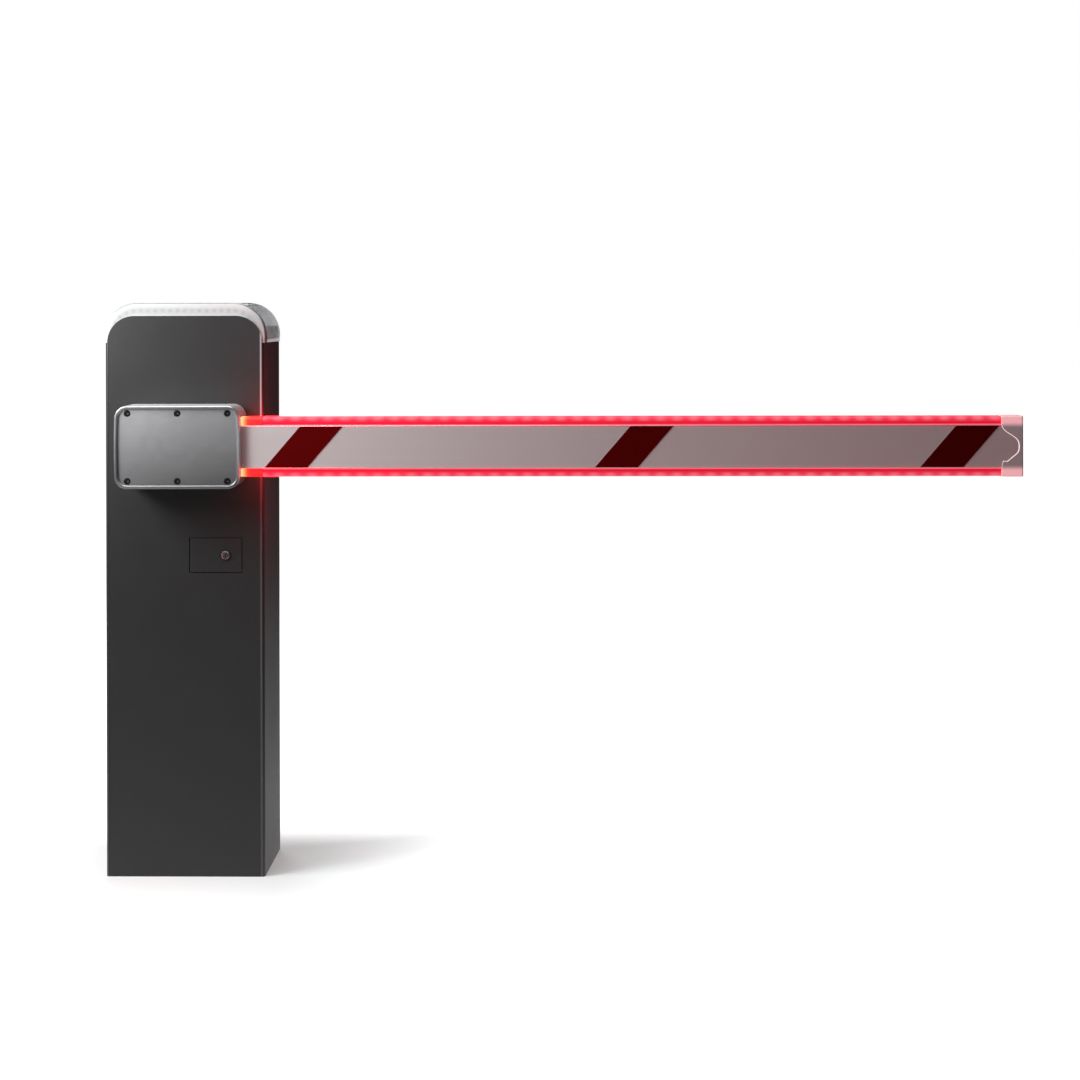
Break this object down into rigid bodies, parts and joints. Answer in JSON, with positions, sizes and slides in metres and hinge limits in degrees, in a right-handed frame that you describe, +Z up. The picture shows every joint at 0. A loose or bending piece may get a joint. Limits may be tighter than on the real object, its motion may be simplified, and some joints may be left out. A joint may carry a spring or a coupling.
{
  "type": "parking barrier",
  "caption": "Parking barrier: steel cabinet with lit crown, die-cast arm bracket, short aluminium boom edged with red light strips, and a key-locked release door.",
  "frame": {"origin": "centre of the cabinet's base, at the centre of the foundation bolt pattern, on the ground", "axes": "+X along the lowered boom, +Z up, the cabinet's front faces -Y"},
  "size_m": [1.8231, 0.3016, 1.1535],
  "materials": {
    "cabinet_paint": "satin anthracite powder coat",
    "steel": "zinc-plated",
    "clear_hood": "clear moulded plastic, gloss",
    "frosted_lens": "frosted, lit from behind",
    "light_board": "white circuit board",
    "carrier_plastic": "moulded plastic",
    "bracket_paint": "satin metallic silver",
    "boom_aluminium": "satin anodised",
    "red_light_strip": "lit silicone profile",
    "feed_light_strip": "lit silicone profile",
    "cap_plastic": "frosted moulded plastic",
    "reflective_red": "reflective sheet",
    "lock_chrome": "worn chrome",
    "black_seal": "black rubber"
  },
  "bodies": {
    "cabinet": {"base_plate": "steel", "side_panel_right": "cabinet_paint", "side_panel_left": "cabinet_paint", "front_panel": "cabinet_paint", "rear_door": "cabinet_paint", "top_tray": "cabinet_paint", "crown_hood": "clear_hood", "crown_lens": "frosted_lens", "crown_led_board": "light_board", "crown_light_carrier": "carrier_plastic", "shaft_bearing": "steel", "release_well": "cabinet_paint", "release_socket": "steel", "release_hinge_pin": "steel"},
    "arm": {"drive_shaft": "steel", "bracket_shell": "bracket_paint", "bracket_cover": "bracket_paint", "boom_profile": "boom_aluminium", "led_strip_top": "red_light_strip", "led_strip_bottom": "red_light_strip", "led_lead_top": "feed_light_strip", "led_lead_bottom": "feed_light_strip", "boom_end_cap": "cap_plastic", "reflector_front_1": "reflective_red", "reflector_front_2": "reflective_red", "reflector_front_3": "reflective_red", "reflector_rear_1": "reflective_red", "reflector_rear_2": "reflective_red", "reflector_rear_3": "reflective_red"},
    "release_flap": {"release_door": "cabinet_paint", "lock_seal": "black_seal", "lock_bezel": "lock_chrome"},
    "lock_plug": {"lock_core": "lock_chrome"}
  },
  "joints": [
    {"name": "boom_lift", "type": "hinge", "parent": "cabinet", "child": "arm", "pos_m": [0, -0.105, 0.869], "axis": [0, -1, 0], "range_deg": [0, 90]},
    {"name": "release_swing", "type": "hinge", "parent": "cabinet", "child": "release_flap", "pos_m": [0.0144, -0.1016, 0.6462], "axis": [0, 0, -1], "range_deg": [0, 110]},
    {"name": "lock_turn", "type": "hinge", "parent": "release_flap", "child": "lock_plug", "pos_m": [0.0816, -0.105, 0.6462], "axis": [0, -1, 0], "range_deg": [0, 90]}
  ]
}
